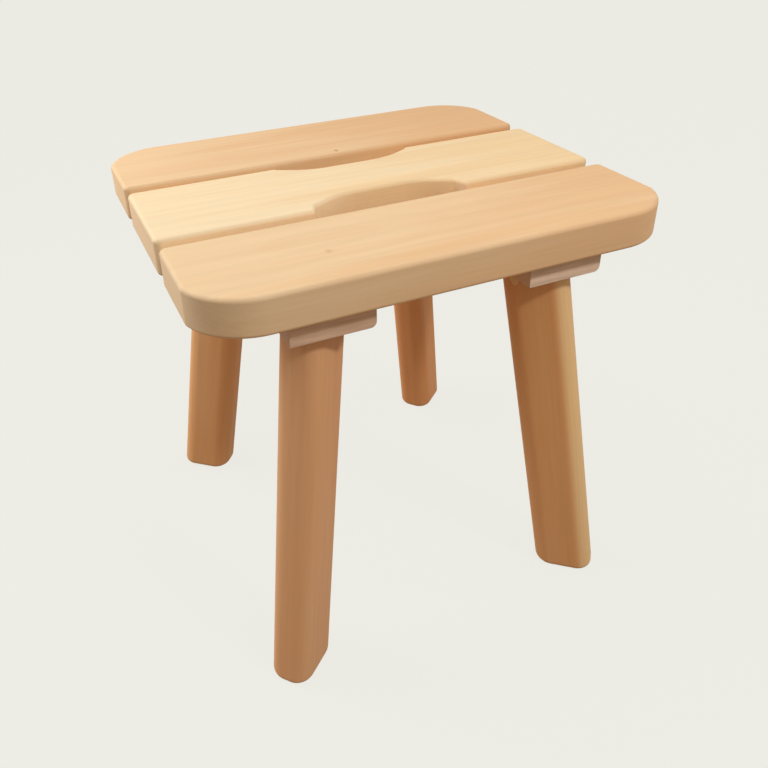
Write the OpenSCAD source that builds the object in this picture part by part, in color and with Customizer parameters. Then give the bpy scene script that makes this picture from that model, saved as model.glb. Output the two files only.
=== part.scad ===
// Sauna stool: three slats on two battens, with four splayed board legs
// X runs along the slats, Y from front to back, Z up from the floor, in millimetres

/* [Seat] */
// Length of the slats, left to right
seat_len = 400; // [340:5:460]
// Width of the front and the rear slat
outer_slat_w = 107; // [95:1:125]
// Width of the middle slat
middle_slat_w = 111; // [95:1:130]
// Gap between two slats
slat_gap = 13; // [8:1:20]
// Thickness of the slats
slat_t = 31; // [27:1:38]
// Radius of the seat's four outer corners, seen from above
seat_corner_r = 52; // [40:1:60]
// How much the slats' ends are cut back from the full round of those corners
corner_trim = 2; // [0.5:0.5:4]
// Radius of the other slat corners, seen from above
slat_corner_r = 6; // [6:0.5:10]
// Rounding along the upper and lower edges of the slats
slat_edge_r = 3.5; // [2:0.5:5.5]

/* [Hand grips] */
// How far the front hand grip is cut into the middle slat
front_grip_depth = 26; // [20:1:30]
// How far the rear hand grip is cut into the middle slat
rear_grip_depth = 16.5; // [15.5:0.5:20]
// Length of a hand grip's straight bottom
grip_flat = 46; // [36:1:56]
// Radius where a hand grip's bottom turns up into its slopes
grip_bend_r = 60; // [40:5:75]
// Slope of a hand grip's sides
grip_slope = 27; // [22:1:32]
// How far the slopes come back from the bottom to the shoulders
grip_rise = 14; // [12:0.5:15]
// Slope of a hand grip's ends, from its shoulders to the slat's edge
grip_end_slope = 65; // [50:1:80]

/* [Battens] */
// Width of a batten
batten_w = 68; // [60:1:80]
// Thickness of a batten
batten_t = 22; // [20:1:30]
// Distance between the middles of the two battens
batten_spacing = 201; // [180:1:230]
// How far a batten's ends stay behind the seat's edge
batten_recess = 14; // [8:1:20]
// Radius of the one rounded lower edge of each batten
batten_edge_r = 5; // [2:0.5:8]

/* [Legs] */
// Height of the battens' underside above the floor
leg_height = 335; // [280:5:400]
// Width of a leg's board
leg_w = 55; // [50:1:62]
// Thickness of a leg's board
leg_t = 39; // [34:1:44]
// Rounding of a leg's long edges
leg_edge_r = 15.5; // [10:0.5:16.5]
// Angle between a leg's wide side and the slats, seen from above
leg_turn = 40; // [30:1:50]
// Lean of a leg in its own plane
leg_splay = 10.2; // [6:0.1:13]
// From a batten's end to the middle of the leg's top
leg_setback = 41.5; // [38:0.5:50]
// Rounding of a foot's lower edge
foot_r = 7; // [3:0.5:8]

/* [Dowels] */
// Diameter of the dowels between a leg and its batten
dowel_d = 10; // [6:1:12]
// Length of a dowel
dowel_len = 32; // [26:1:40]
// How far a dowel stands in the batten
dowel_rise = 14; // [10:1:16]
// From a leg's middle to its outer dowel
outer_dowel_x = 15; // [12:1:17]
// From a leg's middle to its inner dowel
inner_dowel_x = 1; // [-1:0.5:2]
// Free depth past each end of a dowel
dowel_end_gap = 0.5; // [0.2:0.1:1]

/* [Seat screws] */
// Diameter of the screws that hold the slats
screw_d = 5; // [4:0.5:6]
// Length of a seat screw over its head
screw_len = 45; // [38:1:48]
// Diameter of a seat screw's head
screw_head_d = 10; // [8:0.5:11]
// Height of a seat screw's conical head
screw_head_h = 3; // [2:0.5:4]
// Depth of a screw head under the surface around it
screw_sink = 0.5; // [0.2:0.1:1.5]
// From a leg's middle to the seat screws on either side of it
outer_screw_offset = 32; // [29:1:35]
// Step along the slat between the two middle screws of a batten
middle_screw_dx = 26; // [16:1:36]
// Step across the slat between the two middle screws of a batten
middle_screw_dy = 56; // [40:1:70]
// Length of each arm of the cross in a screw head
cross_len = 4.6; // [3:0.1:5]
// Width of each arm of the cross in a screw head
cross_w = 1; // [0.6:0.1:1.4]
// Depth of the cross in a screw head
cross_depth = 1.8; // [1:0.1:2.2]

/* [Leg screws] */
// Diameter of the screw through a leg's side
leg_screw_d = 4; // [3:0.5:5]
// Length of a leg screw over its head
leg_screw_len = 38; // [34:1:40]
// Diameter of a leg screw's head
leg_screw_head_d = 7; // [6:0.5:7.5]
// Height of a leg screw's conical head
leg_screw_head_h = 2.4; // [1.5:0.1:3]
// Rise of a leg screw from the level
leg_screw_rise = 30; // [27:1:33]
// From the leg's top down to the screw's mouth
leg_screw_drop = 12.5; // [11:0.5:14]
// From the leg's middle inwards to the screw
leg_screw_x = 14; // [12:0.5:16]
// Diameter of the plug over a leg screw
plug_d = 8; // [8:0.5:10]
// Length of a plug along its middle
plug_len = 5; // [4:0.5:6]

/* [Fits] */
// Free space round a dowel, a plug or a screw in its hole
hole_clearance = 0.1; // [0.05:0.05:0.2]

/* [Hidden] */
$fn = 64;

seat_depth = 2 * outer_slat_w + middle_slat_w + 2 * slat_gap;
outer_slat_y = seat_depth / 2 - outer_slat_w;
slat_z = leg_height + batten_t;
batten_x = batten_spacing / 2;
batten_len = seat_depth - 2 * batten_recess;
leg_y = batten_len / 2 - leg_setback;
cut = 1;
spare_depth = 1;
screw_point_d = 1;
foot_steps = 4;
ring_steps = 8;
bend_steps = 8;

pale_wood = [0.93, 0.76, 0.55];
warm_wood = [0.88, 0.68, 0.47];
leg_wood = [0.70, 0.47, 0.28];
batten_wood = [0.78, 0.66, 0.52];
dowel_wood = [0.86, 0.72, 0.52];
steel = [0.72, 0.72, 0.74];

// Half of a slat's edge profile: reach is measured out to the edge
module edge_profile(reach) {
    intersection() {
        square([reach, slat_t]);
        union() {
            square([reach - slat_edge_r, slat_t]);
            translate([0, slat_edge_r])
                square([reach, slat_t - 2 * slat_edge_r]);
            for (z = [slat_edge_r, slat_t - slat_edge_r])
                translate([reach - slat_edge_r, z])
                    circle(slat_edge_r);
        }
    }
}

// A round slat corner with its eased edges
module slat_corner(x, y, r) {
    translate([x, y, 0])
        rotate_extrude()
            edge_profile(r);
}

// A straight eased edge that starts at a point and faces a given way
module slat_side(x, y, facing, reach, len) {
    translate([x, y, 0])
        rotate([0, 0, facing])
            rotate([90, 0, 0])
                linear_extrude(len)
                    edge_profile(reach);
}

// A slat with eased edges and small corners all round
module eased_slat(w) {
    r = slat_corner_r;
    x = seat_len / 2 - r;
    y = w / 2 - r;
    for (sx = [-1, 1], sy = [-1, 1])
        slat_corner(sx * x, sy * y, r);
    slat_side(x, -y, -90, r, 2 * x);
    slat_side(-x, y, 90, r, 2 * x);
    slat_side(x, y, 0, r, 2 * y);
    slat_side(-x, -y, 180, r, 2 * y);
    translate([-x, -y, 0])
        cube([2 * x, 2 * y, slat_t]);
}

// The front part of an outer slat with its two large corners, before the ends are cut back
module large_corners(front_y) {
    x = seat_len / 2 + corner_trim - seat_corner_r;
    for (s = [-1, 1])
        slat_corner(s * x, front_y, seat_corner_r);
    slat_side(x, front_y, -90, seat_corner_r, 2 * x);
}

// An outer slat: the large corners are cut back at the ends and meet them at a slight angle
module large_cornered_slat(w) {
    front_y = seat_corner_r - w / 2;
    intersection() {
        eased_slat(w);
        translate([-seat_len, front_y, -cut])
            cube([2 * seat_len, w, slat_t + 2 * cut]);
    }
    intersection() {
        large_corners(front_y);
        translate([0, front_y, 0])
            rotate([90, 0, 0])
                linear_extrude(seat_corner_r + cut)
                    for (m = [0, 1])
                        mirror([m, 0])
                            edge_profile(seat_len / 2);
    }
}

// The points of a hand grip's right half, from its bottom out to its mouth
function grip_side(depth) =
    let (x = grip_flat / 2,
         r = grip_bend_r,
         bend = [for (k = [0 : bend_steps])
             let (a = grip_slope * k / bend_steps)
             [x + r * sin(a), depth - r * (1 - cos(a))]],
         end = bend[bend_steps],
         shoulder = [end[0] + (grip_rise - depth + end[1]) / tan(grip_slope), depth - grip_rise],
         mouth_x = shoulder[0] + shoulder[1] / tan(grip_end_slope))
    concat(bend, [shoulder, [mouth_x, 0], [mouth_x, -cut]]);

// The outline of a hand grip, cut inwards from an edge along X
module grip_outline(depth) {
    right = grip_side(depth);
    last = len(right) - 1;
    polygon(concat(right, [for (i = [last : -1 : 0]) [-right[i][0], right[i][1]]]));
}

// Puts a leg's own things in place: X outwards along its board, Z up from its top
module at_leg(side, end) {
    translate([side * batten_x, end * leg_y, leg_height])
        rotate([0, 0, atan2(end * sin(leg_turn), side * cos(leg_turn))])
            children();
}

// Puts a leg screw's things in place, with Z into the wood from the leg's side
module at_leg_screw(side, end) {
    at_leg(side, end)
        translate([-leg_screw_x, -leg_t / 2, -leg_screw_drop])
            rotate([leg_screw_rise - 90, 0, 0])
                children();
}

// The seat screws of one slat on one batten, Z up from the batten's underside
module at_seat_screws(row, side) {
    if (row == 0)
        for (s = [-1, 1])
            translate([side * batten_x + s * middle_screw_dx / 2,
                       s * middle_screw_dy / 2, leg_height])
                children();
    else
        for (s = [-1, 1])
            translate([side * (batten_x + s * outer_screw_offset * sin(leg_turn)),
                       row * (leg_y - s * outer_screw_offset * cos(leg_turn)), leg_height])
                children();
}

// The bore for one seat screw, with its countersink
module seat_screw_hole() {
    c = hole_clearance;
    translate([0, 0, -cut])
        cylinder(h = cut + screw_sink, d = screw_head_d + 2 * c);
    translate([0, 0, screw_sink])
        cylinder(h = screw_head_h, d1 = screw_head_d + 2 * c, d2 = screw_d + 2 * c);
    cylinder(h = screw_sink + screw_len + spare_depth, d = screw_d + 2 * c);
}

// A countersunk screw with a cross in its head, Z towards its point, which is as long as it is thick
module countersunk_screw(d, len, head_d, head_h) {
    body_len = len - d;
    difference() {
        union() {
            cylinder(h = head_h, d1 = head_d, d2 = d);
            cylinder(h = body_len, d = d);
            translate([0, 0, body_len])
                cylinder(h = len - body_len, d1 = d, d2 = screw_point_d);
        }
        for (a = [0, 90])
            rotate([0, 0, a])
                translate([-cross_len / 2, -cross_w / 2, -cut])
                    cube([cross_len, cross_w, cut + cross_depth]);
    }
}

module seat_screws(row, side) {
    color(steel)
        at_seat_screws(row, side)
            translate([0, 0, screw_sink])
                countersunk_screw(screw_d, screw_len, screw_head_d, screw_head_h);
}

module outer_slat(row) {
    color(warm_wood)
        difference() {
            translate([0, row * (outer_slat_y + outer_slat_w / 2), slat_z])
                rotate([0, 0, row > 0 ? 180 : 0])
                    large_cornered_slat(outer_slat_w);
            for (side = [-1, 1])
                at_seat_screws(row, side)
                    seat_screw_hole();
        }
}

module middle_slat() {
    color(pale_wood)
        difference() {
            translate([0, 0, slat_z])
                eased_slat(middle_slat_w);
            for (grip = [[0, front_grip_depth], [180, rear_grip_depth]])
                rotate([0, 0, grip[0]])
                    translate([0, -middle_slat_w / 2, slat_z - cut])
                        linear_extrude(slat_t + 2 * cut)
                            grip_outline(grip[1]);
            for (side = [-1, 1])
                at_seat_screws(0, side)
                    seat_screw_hole();
        }
}

// Both battens are laid the same way round, with the eased edge to the right
module batten(side) {
    w = batten_w / 2;
    r = batten_edge_r;
    color(batten_wood)
        difference() {
            translate([side * batten_x, batten_len / 2, leg_height])
                rotate([90, 0, 0])
                    linear_extrude(batten_len) {
                        translate([-w, 0])
                            square([batten_w - r, batten_t]);
                        translate([-w, r])
                            square([batten_w, batten_t - r]);
                        translate([w - r, r])
                            circle(r);
                    }
            for (row = [-1, 0, 1])
                at_seat_screws(row, side)
                    seat_screw_hole();
            for (end = [-1, 1]) {
                at_leg(side, end)
                    dowel_bores();
                at_leg_screw(side, end)
                    leg_screw_hole();
            }
        }
}

// The two dowel places of a leg, Z up from the lower end of the dowels
module at_dowels() {
    for (x = [outer_dowel_x, -inner_dowel_x])
        translate([x, 0, dowel_rise - dowel_len])
            children();
}

module dowel_bores() {
    at_dowels()
        translate([0, 0, -dowel_end_gap])
            cylinder(h = dowel_len + 2 * dowel_end_gap, d = dowel_d + 2 * hole_clearance);
}

module leg_screw_hole() {
    c = hole_clearance;
    translate([0, 0, -plug_d])
        cylinder(h = plug_d + plug_len + c, d = plug_d + 2 * c);
    cylinder(h = plug_len + c + leg_screw_len + spare_depth, d = leg_screw_d + 2 * c);
    translate([0, 0, plug_len + c])
        cylinder(h = leg_screw_head_h, d1 = leg_screw_head_d + 2 * c, d2 = leg_screw_d + 2 * c);
}

// The points round a leg's level section, at a height above the floor and drawn in all round
function leg_ring(up, inset) =
    let (r = leg_edge_r - inset, lean = (leg_height - up) * tan(leg_splay))
    [for (corner = [0 : 3], k = [0 : ring_steps])
        let (a = 90 * (corner + k / ring_steps),
             sx = corner == 0 || corner == 3 ? 1 : -1,
             sy = corner < 2 ? 1 : -1)
        [lean + (sx * (leg_w / 2 - leg_edge_r) + r * cos(a)) / cos(leg_splay),
         sy * (leg_t / 2 - leg_edge_r) + r * sin(a),
         up - leg_height]];

// The leaning board of a leg, cut level at both ends, with a rounded lower edge
module leg_board() {
    foot = [for (k = [0 : foot_steps])
        let (a = 90 * k / foot_steps)
        leg_ring(foot_r * (1 - cos(a)), foot_r * (1 - sin(a)))];
    rings = concat(foot, [leg_ring(leg_height, 0)]);
    n = len(rings[0]);
    last = len(rings) - 1;
    sides = [for (j = [0 : last - 1], i = [0 : n - 1])
        let (next = (i + 1) % n)
        [j * n + i, (j + 1) * n + i, (j + 1) * n + next, j * n + next]];
    polyhedron(
        points = [for (ring = rings) each ring],
        faces = concat([[for (i = [0 : n - 1]) i]], sides,
                       [[for (i = [n - 1 : -1 : 0]) last * n + i]]));
}

module leg(side, end) {
    color(leg_wood)
        difference() {
            at_leg(side, end)
                leg_board();
            at_leg(side, end)
                dowel_bores();
            at_leg_screw(side, end)
                leg_screw_hole();
        }
}

module dowels(side, end) {
    color(dowel_wood)
        at_leg(side, end)
            at_dowels()
                cylinder(h = dowel_len, d = dowel_d);
}

module leg_screw(side, end) {
    color(steel)
        at_leg_screw(side, end)
            translate([0, 0, plug_len + hole_clearance])
                countersunk_screw(leg_screw_d, leg_screw_len, leg_screw_head_d, leg_screw_head_h);
}

// A plug is cut off level with the leg's side
module plug(side, end) {
    color(dowel_wood)
        intersection() {
            at_leg_screw(side, end)
                translate([0, 0, -plug_d])
                    cylinder(h = plug_d + plug_len, d = plug_d);
            at_leg(side, end)
                leg_board();
        }
}

outer_slat(-1);  // slat_front
middle_slat();  // slat_middle
outer_slat(1);  // slat_rear
batten(-1);  // batten_left
batten(1);  // batten_right
leg(-1, -1);  // leg_front_left
leg(1, -1);  // leg_front_right
leg(-1, 1);  // leg_rear_left
leg(1, 1);  // leg_rear_right
dowels(-1, -1);  // dowels_front_left
dowels(1, -1);  // dowels_front_right
dowels(-1, 1);  // dowels_rear_left
dowels(1, 1);  // dowels_rear_right
leg_screw(-1, -1);  // leg_screw_front_left
leg_screw(1, -1);  // leg_screw_front_right
leg_screw(-1, 1);  // leg_screw_rear_left
leg_screw(1, 1);  // leg_screw_rear_right
plug(-1, -1);  // plug_front_left
plug(1, -1);  // plug_front_right
plug(-1, 1);  // plug_rear_left
plug(1, 1);  // plug_rear_right
seat_screws(-1, -1);  // seat_screws_front_left
seat_screws(-1, 1);  // seat_screws_front_right
seat_screws(0, -1);  // seat_screws_middle_left
seat_screws(0, 1);  // seat_screws_middle_right
seat_screws(1, -1);  // seat_screws_rear_left
seat_screws(1, 1);  // seat_screws_rear_right
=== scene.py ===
"""The looks of a bare wooden sauna stool, made round its packed construction model."""
import logging
import math
from collections.abc import Callable, Sequence
from dataclasses import dataclass, replace
from enum import Enum

import bmesh
import bpy
from mathutils import Matrix, Vector


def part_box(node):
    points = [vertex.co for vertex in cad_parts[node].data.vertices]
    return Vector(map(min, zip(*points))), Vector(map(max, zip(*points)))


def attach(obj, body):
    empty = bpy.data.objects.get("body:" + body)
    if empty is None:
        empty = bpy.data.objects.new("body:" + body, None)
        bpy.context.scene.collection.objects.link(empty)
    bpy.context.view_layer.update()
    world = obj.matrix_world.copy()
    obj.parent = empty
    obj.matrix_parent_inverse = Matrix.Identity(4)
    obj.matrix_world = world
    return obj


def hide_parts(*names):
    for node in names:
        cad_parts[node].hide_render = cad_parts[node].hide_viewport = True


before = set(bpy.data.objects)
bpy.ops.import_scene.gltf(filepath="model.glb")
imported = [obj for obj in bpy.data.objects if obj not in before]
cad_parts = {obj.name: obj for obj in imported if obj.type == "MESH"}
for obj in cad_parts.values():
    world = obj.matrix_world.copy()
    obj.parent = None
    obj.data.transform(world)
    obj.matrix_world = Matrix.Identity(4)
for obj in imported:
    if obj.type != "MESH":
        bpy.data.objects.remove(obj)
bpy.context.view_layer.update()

log = logging.getLogger("stool")
MM = 0.001
NEAR = 0.05 * MM
BODY = "root"
WHITE_LEVEL = 255.0

# How many flats make up each kind of rounding
LARGE_STEPS = 20
LONG_STEPS = 12
CORNER_STEPS = 8
FOOT_STEPS = 7
RIM_STEPS = 6
ARRIS_STEPS = 2

# Turns what lies along X so that it stands along Z
UPRIGHT = Matrix.Rotation(-math.pi / 2, 4, "Y")


class Side(Enum):
    """The two ends of the seat, as a sign along X."""

    LEFT = -1
    RIGHT = 1


class End(Enum):
    """The two long edges of the seat, as a sign along Y."""

    FRONT = -1
    REAR = 1


class Row(Enum):
    """The three slats, as a sign along Y."""

    FRONT = -1
    MIDDLE = 0
    REAR = 1


class Part(Enum):
    """What an edit mode selection is made of."""

    EDGE = "EDGE"
    FACE = "FACE"


@dataclass(frozen=True)
class Tone:
    """A colour as the eye sees it, each part from 0 to 255."""

    red: float
    green: float
    blue: float

    def linear(self) -> tuple[float, float, float, float]:
        """Turn the colour into the renderer's linear scale, by the usual curve of screens.

        Returns:
            The three parts and full alpha, each from 0 to 1.
        """
        parts = [part / WHITE_LEVEL for part in (self.red, self.green, self.blue)]
        mixed = [p / 12.92 if p <= 0.04045 else ((p + 0.055) / 1.055) ** 2.4 for p in parts]
        return (*mixed, 1.0)

    def scaled(self, red: float, green: float, blue: float) -> "Tone":
        """Return the colour with each part made stronger or weaker, and none past white."""
        parts = (self.red * red, self.green * green, self.blue * blue)
        return Tone(*(min(part, WHITE_LEVEL) for part in parts))


class Value:
    """A number that varies over a surface, with the arithmetic of plain Python."""

    def __init__(self, sheet: "Sheet", socket: bpy.types.NodeSocket) -> None:
        """Keep the socket that carries the number.

        Args:
            sheet: The node sheet that the socket is on.
            socket: The output socket.
        """
        self.sheet = sheet
        self.socket = socket

    def __add__(self, other: "Value | float") -> "Value":
        """Return the sum."""
        return self.sheet.math("ADD", self, other)

    def __sub__(self, other: "Value | float") -> "Value":
        """Return the difference."""
        return self.sheet.math("SUBTRACT", self, other)

    def __rsub__(self, other: float) -> "Value":
        """Return a plain number less this one."""
        return self.sheet.math("SUBTRACT", other, self)

    def __mul__(self, other: "Value | float") -> "Value":
        """Return the product."""
        return self.sheet.math("MULTIPLY", self, other)

    def __truediv__(self, other: "Value | float") -> "Value":
        """Return the quotient."""
        return self.sheet.math("DIVIDE", self, other)

    def ramp(self, low: float, high: float) -> "Value":
        """Rise smoothly from 0 at one value to 1 at another.

        Args:
            low: The value that gives 0.
            high: The value that gives 1.

        Returns:
            The eased number, held between 0 and 1.
        """
        settings = {"interpolation_type": "SMOOTHSTEP"}
        inputs = {"Value": self, "From Min": low, "From Max": high}
        return self.sheet.node("ShaderNodeMapRange", settings, inputs)


@dataclass(frozen=True)
class Pattern:
    """A noise pattern: how often it repeats along each axis per metre, and its finer layers.

    The detail is how many finer layers there are, and rough is how strong they are.
    """

    stretch: tuple[float, float, float]
    detail: float = 2.0
    rough: float = 0.5


class Sheet:
    """The node sheet of one material or of the world."""

    def __init__(self, owner: bpy.types.Material | bpy.types.World) -> None:
        """Turn the owner's nodes on.

        Args:
            owner: The material or world that the nodes belong to.
        """
        owner.use_nodes = True
        self.tree = owner.node_tree

    def node(self, kind: str, settings: dict | None = None, inputs: dict | None = None,
             output: str | int = 0) -> Value:
        """Add a node.

        Args:
            kind: The node's type.
            settings: Its options, set before its sockets.
            inputs: Values or links for its sockets, by name or number.
            output: The socket that carries its result.

        Returns:
            The result, ready for arithmetic.
        """
        made = self.tree.nodes.new(kind)
        for key, value in (settings or {}).items():
            setattr(made, key, value)
        for key, value in (inputs or {}).items():
            self.feed(made.inputs[key], value)
        return Value(self, made.outputs[output])

    def feed(self, socket: bpy.types.NodeSocket, value: "Value | float | Sequence[float]") -> None:
        """Link a result to a socket, or set the socket's own number or colour.

        Args:
            socket: The input socket.
            value: The result, number or colour.
        """
        if isinstance(value, Value):
            self.tree.links.new(value.socket, socket)
        else:
            socket.default_value = value

    def math(self, operation: str, first: Value | float, second: Value | float) -> Value:
        """Add a Math node and return its result."""
        return self.node("ShaderNodeMath", {"operation": operation}, {0: first, 1: second})

    def vector(self, operation: str, first: Value, second: Value | Sequence[float]) -> Value:
        """Add a Vector Math node and return its vector."""
        return self.node("ShaderNodeVectorMath", {"operation": operation}, {0: first, 1: second})

    def length(self, vector: Value) -> Value:
        """Return how long a vector is."""
        return self.node("ShaderNodeVectorMath", {"operation": "LENGTH"}, {0: vector}, "Value")

    def part(self, vector: Value, axis: str) -> Value:
        """Return a vector's part along one axis."""
        return self.node("ShaderNodeSeparateXYZ", None, {0: vector}, axis)

    def coordinate(self, kind: str) -> Value:
        """Return a surface point's coordinate of one kind."""
        return self.node("ShaderNodeTexCoord", None, None, kind)

    def mix(self, factor: Value | float, first: Value | Sequence[float],
            second: Value | Sequence[float], mode: str = "MIX") -> Value:
        """Blend two colours.

        Args:
            factor: How much of the second colour there is.
            first: The colour at 0.
            second: The colour at 1.
            mode: The blend mode.

        Returns:
            The blended colour.
        """
        settings = {"data_type": "RGBA", "blend_type": mode}
        # The node has sockets for numbers and vectors too, and these are its colours
        first_colour, second_colour, mixed_colour = 6, 7, 2
        inputs = {0: factor, first_colour: first, second_colour: second}
        return self.node("ShaderNodeMix", settings, inputs, mixed_colour)

    def noise(self, place: Value, pattern: Pattern) -> Value:
        """Add a noise pattern.

        Args:
            place: The point that the pattern is read at.
            pattern: How fine it is.

        Returns:
            The noise, centred on 0, from about -0.5 to 0.5.
        """
        inputs = {
            "Vector": self.vector("MULTIPLY", place, pattern.stretch),
            "Scale": 1.0, "Detail": pattern.detail, "Roughness": pattern.rough,
        }
        middle = 0.5
        return self.node("ShaderNodeTexNoise", None, inputs) - middle


@dataclass(frozen=True)
class Knot:
    """A pin knot that shows in a board's upper face.

    Its heart and its rim are shares of its size. The squeeze makes it broader across
    the board than along it, and ragged is how uneven its rim is.
    """

    along: float
    across: float
    size: float
    strength: float
    squeeze: float = 0.75
    ragged: float = 0.6
    heart: float = 0.2
    rim: float = 1.3


@dataclass(frozen=True)
class Grain:
    """How the wood of one piece lies: where its own axes are, with X along the fibres.

    How far the board is painted darker and more orange along its length, per metre, is painted shade:
    it stands for the light from the left falling off towards the board's right end.
    How far from the middle the board turns pale, towards its outer edge, is partly pale outer wood and
    partly a painted highlight along a lit edge.
    """

    origin: Vector
    turn: Matrix
    seed: float
    pith: tuple[float, float]
    knots: tuple[Knot, ...] = ()
    painted_light_falloff: float = 0.0
    sapwood_and_highlight: float | None = None


# The wood's patterns, with the fibres along X
FIBRES = Pattern((18.0, 900.0, 900.0), 3.0, 0.6)
STREAKS = Pattern((5.0, 160.0, 160.0), 3.0, 0.55)
FLAMES = Pattern((3.5, 34.0, 34.0), 3.0)
RING_SWAY = Pattern((4.0, 9.0, 9.0), rough=0.45)
PORES = Pattern((300.0, 1500.0, 1500.0), rough=0.6)
CLOUDS = Pattern((4.0, 60.0, 60.0))
LAYERS = Pattern((4.0, 24.0, 300.0))
KNOT_RIM = Pattern((400.0, 400.0, 400.0))

# How far a piece's seed moves its patterns along each axis
SEED_SHIFT = (1.0, 1.7, 0.6)

# How dark the heart of a knot is beside the late wood
KNOT_SHADE = (0.72, 0.62, 0.55)


@dataclass(frozen=True)
class WoodFinish:
    """Bare, finely sanded wood.

    The tones are the plain wood, the darker late wood of a growth ring, the warm
    flame tone that wanders through a board, the cut ends of the fibres, and the pale outer wood, which
    also serves as a painted highlight along a lit edge.
    A depth says how strongly a pattern shows in the colour, and a share how much of
    the surface's height comes from it.
    """

    slot: str
    plain: Tone
    late: Tone
    flame: Tone
    end: Tone
    # Pale outer wood, also a painted highlight along the lit outer edge of the front right leg
    sap_and_highlight: Tone = Tone(252, 209, 150)
    sap_and_highlight_blend: float = 8.0 * MM
    ring_gap: float = 4.2 * MM
    ring_sway: float = 30.0 * MM
    ring_depth: float = 0.1
    flame_range: float = 0.25
    flame_depth: float = 0.9
    fibre_depth: float = 0.105
    streak_depth: float = 0.16
    pore_depth: float = 0.16
    cloud_depth: float = 0.12
    end_ring_depth: float = 0.03
    end_streaks: float = 0.0
    roughness: float = 0.62
    roughness_change: float = 0.12
    refraction: float = 1.45
    shine: float = 0.4
    relief: float = 0.06 * MM
    relief_strength: float = 0.6
    fibre_share: float = 0.7
    streak_share: float = 0.3
    knot_share: float = 0.5

    def tinted(self, red: float, green: float, blue: float) -> "WoodFinish":
        """Return the wood of another board of the same kind.

        Args:
            red: How strong its red is beside this board's.
            green: How strong its green is beside this board's.
            blue: How strong its blue is beside this board's.

        Returns:
            The finish of the other board.
        """
        tones = {"plain": self.plain, "late": self.late, "flame": self.flame, "end": self.end}
        return replace(self, **{name: tone.scaled(red, green, blue) for name, tone in tones.items()})

    def make(self, name: str, grain: Grain) -> bpy.types.Material:
        """Build the material for one piece.

        Args:
            name: The piece's name.
            grain: How the wood lies in the piece.

        Returns:
            The material.
        """
        material = bpy.data.materials.new("wood_" + name)
        sheet = Sheet(material)
        shader = sheet.tree.nodes["Principled BSDF"]
        place = self.board_axes(sheet, grain)
        shifted = sheet.vector("ADD", place, [grain.seed * part for part in SEED_SHIFT])
        rings = self.rings(sheet, place, shifted, grain)
        fibres = sheet.noise(shifted, FIBRES)
        streaks = sheet.noise(shifted, STREAKS)
        colour = self.long_colour(sheet, place, shifted, grain)
        colour = sheet.mix(rings * self.ring_depth, colour, self.late.linear())
        marks = streaks * self.streak_depth + fibres * self.fibre_depth
        colour = self.shade(sheet, colour, marks)
        cut = self.end_grain(sheet, grain)
        colour = sheet.mix(cut, colour, self.end_colour(sheet, rings, shifted))
        relief = fibres * self.fibre_share + streaks * self.streak_share
        for knot in grain.knots:
            mark = self.knot_mark(sheet, place, shifted, knot)
            colour = sheet.mix(mark * knot.strength, colour, self.late.scaled(*KNOT_SHADE).linear())
            relief = relief - mark * self.knot_share
        sheet.feed(shader.inputs["Base Color"], colour)
        duller = fibres * self.roughness_change + cut * self.roughness_change
        sheet.feed(shader.inputs["Roughness"], duller + self.roughness)
        bump = {"Height": relief, "Distance": self.relief, "Strength": self.relief_strength}
        sheet.feed(shader.inputs["Normal"], sheet.node("ShaderNodeBump", None, bump))
        shader.inputs["IOR"].default_value = self.refraction
        shader.inputs["Specular IOR Level"].default_value = self.shine
        return material

    def board_axes(self, sheet: Sheet, grain: Grain) -> Value:
        """Turn a point's place into the piece's own axes.

        Args:
            sheet: The node sheet.
            grain: Where the piece's axes are.

        Returns:
            The point's place along, across and through the piece.
        """
        inputs = {
            "Vector": sheet.coordinate("Object"),
            "Location": grain.origin, "Rotation": grain.turn.to_euler(),
        }
        return sheet.node("ShaderNodeMapping", {"vector_type": "TEXTURE"}, inputs)

    def long_colour(self, sheet: Sheet, place: Value, shifted: Value, grain: Grain) -> Value:
        """Colour the wood along its fibres, with its flame tone, a painted shade that darkens it along
        its length, and its pale outer strip, which is partly painted highlight.

        Args:
            sheet: The node sheet.
            place: The point in the piece's own axes.
            shifted: The same point, moved for this piece's own noise.
            grain: How the wood lies.

        Returns:
            The colour, without rings and finer marks.
        """
        # Painted shade: darker and more orange towards the board's right end, for the light from the
        # left falling off
        painted_falloff_shade = sheet.part(place, "X") * grain.painted_light_falloff
        flames_and_falloff = (sheet.noise(shifted, FLAMES) + painted_falloff_shade).ramp(-self.flame_range, self.flame_range)
        colour = sheet.mix(flames_and_falloff * self.flame_depth, self.plain.linear(), self.flame.linear())
        if grain.sapwood_and_highlight is None:
            return colour
        # Paler towards the outer edge: partly pale outer wood, partly a painted highlight along a lit
        # edge
        outwards = 0.0 - sheet.part(place, "Z")
        sapwood_and_highlight = outwards.ramp(grain.sapwood_and_highlight, grain.sapwood_and_highlight + self.sap_and_highlight_blend)
        return sheet.mix(sapwood_and_highlight, colour, self.sap_and_highlight.linear())

    def rings(self, sheet: Sheet, place: Value, shifted: Value, grain: Grain) -> Value:
        """Draw the growth rings, round a pith that lies outside the piece.

        Args:
            sheet: The node sheet.
            place: The point in the piece's own axes.
            shifted: The same point, moved for this piece's own noise.
            grain: How the wood lies.

        Returns:
            The late wood, from 0 to 1.
        """
        offset = sheet.vector("SUBTRACT", place, (0.0, *grain.pith))
        reach = sheet.length(sheet.vector("MULTIPLY", offset, (0.0, 1.0, 1.0)))
        turns = (reach + sheet.noise(shifted, RING_SWAY) * self.ring_sway) / self.ring_gap
        share = sheet.node("ShaderNodeMath", {"operation": "FRACT"}, {0: turns})
        early, darkest = 0.25, 0.9
        return share.ramp(early, darkest) * (1.0 - share.ramp(darkest, 1.0))

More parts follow.
